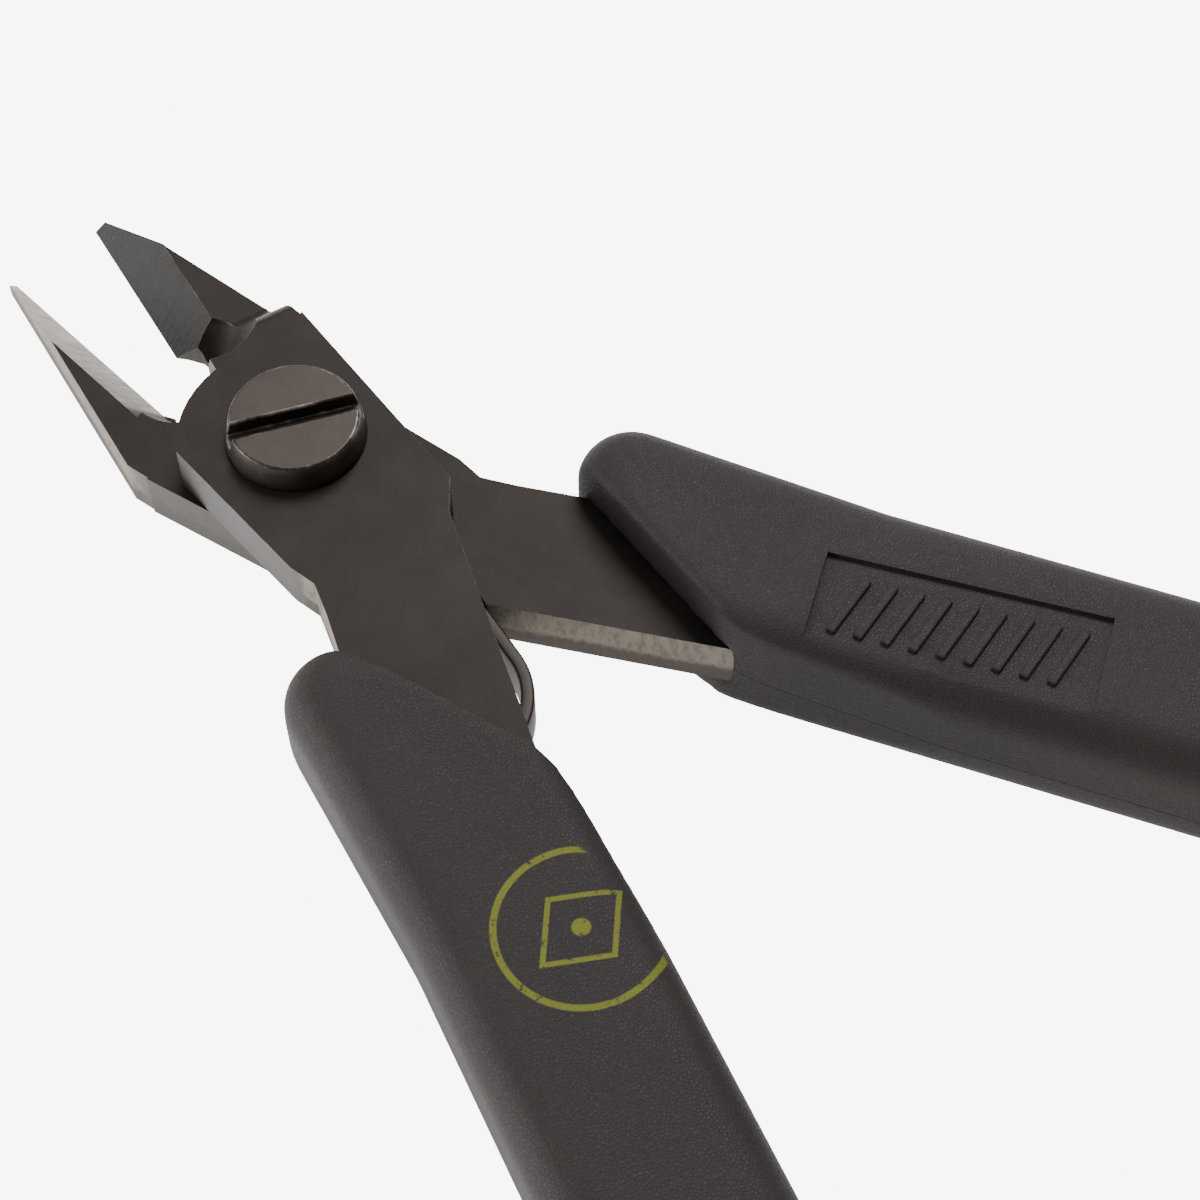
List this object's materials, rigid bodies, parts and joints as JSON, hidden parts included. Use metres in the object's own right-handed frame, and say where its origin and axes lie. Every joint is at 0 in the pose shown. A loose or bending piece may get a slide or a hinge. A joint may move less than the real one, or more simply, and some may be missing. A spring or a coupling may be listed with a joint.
{
  "type": "flush cutting pliers",
  "caption": "Flush cutting pliers: two lapped steel halves on a slotted pivot screw, bevelled jaws, a bowed return spring and moulded grips.",
  "frame": {"origin": "on the pivot axis, in the plane of the jaws' flush back faces, where the screw's end lies", "axes": "+X from the jaws towards the handle ends, +Y towards the handle that carries the rear half, +Z along the pivot towards the screw head"},
  "size_m": [0.1265, 0.0656, 0.0104],
  "materials": {
    "oxide_steel": "black oxide, satin faces, with brighter ground facets on the body's edges and ground bevels on the jaws",
    "screw_steel": "satin turned steel, lightly oxidised",
    "spring_steel": "tempered strip, satin",
    "grip_rubber": "soft matt moulded grip with a fine leather grain"
  },
  "bodies": {
    "rear": {"rear_plate": "oxide_steel", "pivot_screw": "screw_steel", "return_spring": "spring_steel", "rear_grip": "grip_rubber"},
    "front": {"front_plate": "oxide_steel", "spring_pin": "screw_steel", "front_grip": "grip_rubber"}
  },
  "joints": [
    {"name": "pivot", "type": "hinge", "parent": "rear", "child": "front", "pos_m": [0, 0, 0], "axis": [0, 0, 1], "range_deg": [0, 13.8], "stiffness_Nm_per_rad": 0.8, "springref_deg": -11.46, "deforming": ["return_spring"]}
  ]
}
